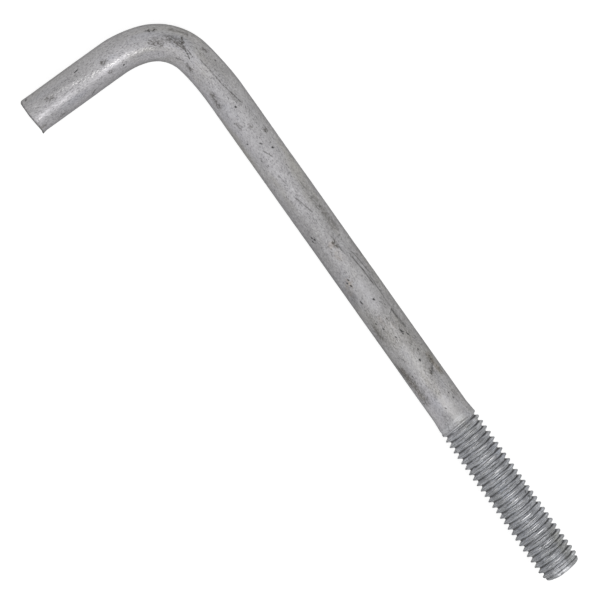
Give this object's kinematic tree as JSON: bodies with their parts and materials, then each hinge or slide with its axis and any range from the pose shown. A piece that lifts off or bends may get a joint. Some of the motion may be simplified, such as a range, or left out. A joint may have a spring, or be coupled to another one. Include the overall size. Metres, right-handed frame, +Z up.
{
  "type": "l-bolt anchor",
  "caption": "Galvanized steel anchor bolt: a round rod with a thread at one end and a short leg bent at a right angle at the other.",
  "frame": {"origin": "on the shank's axis, at the centre of the end face of the threaded end", "axes": "+X along the shank and out of the threaded end, -Y towards the end of the hook leg, +Z up as the bolt lies flat"},
  "size_m": [0.2048, 0.0567, 0.0126],
  "materials": {
    "galvanized_steel": "matte"
  },
  "bodies": {
    "root": {"l_bolt": "galvanized_steel"}
  },
  "joints": []
}
